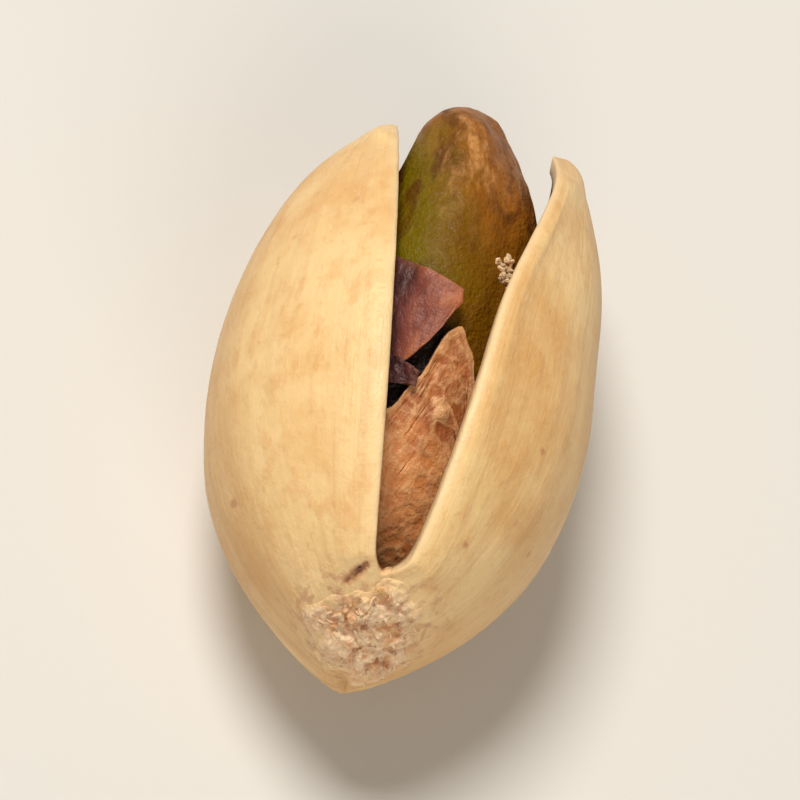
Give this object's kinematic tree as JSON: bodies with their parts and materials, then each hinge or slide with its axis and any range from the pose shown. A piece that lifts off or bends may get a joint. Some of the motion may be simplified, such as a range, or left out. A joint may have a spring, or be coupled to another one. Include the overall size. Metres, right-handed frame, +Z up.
{
  "type": "pistachio in shell",
  "caption": "Single pistachio nut in its naturally split shell, with the green kernel and torn papery seed coat showing in the gap.",
  "frame": {"origin": "middle of the small flat spot on the back of the shell, which the nut rests on", "axes": "+Y along the nut from the stem end to the tip, +Z up out of the split, +X across the two valves to the right valve"},
  "size_m": [0.0132, 0.0215, 0.0132],
  "materials": {
    "shell": "dry woody shell, matt to satin, cream-tan with fine streaks along it",
    "kernel": "oily kernel, satin, mottled olive green and golden brown",
    "seed_coat": "papery seed coat, satin, pinkish tan-brown with a pale vein network",
    "seed_coat_scrap": "torn seed coat, satin, purple-brown with a pinkish-tan edge"
  },
  "bodies": {
    "root": {"shell": "shell", "kernel": "kernel", "skin_wrap": "seed_coat", "skin_scrap": "seed_coat_scrap"}
  },
  "joints": []
}
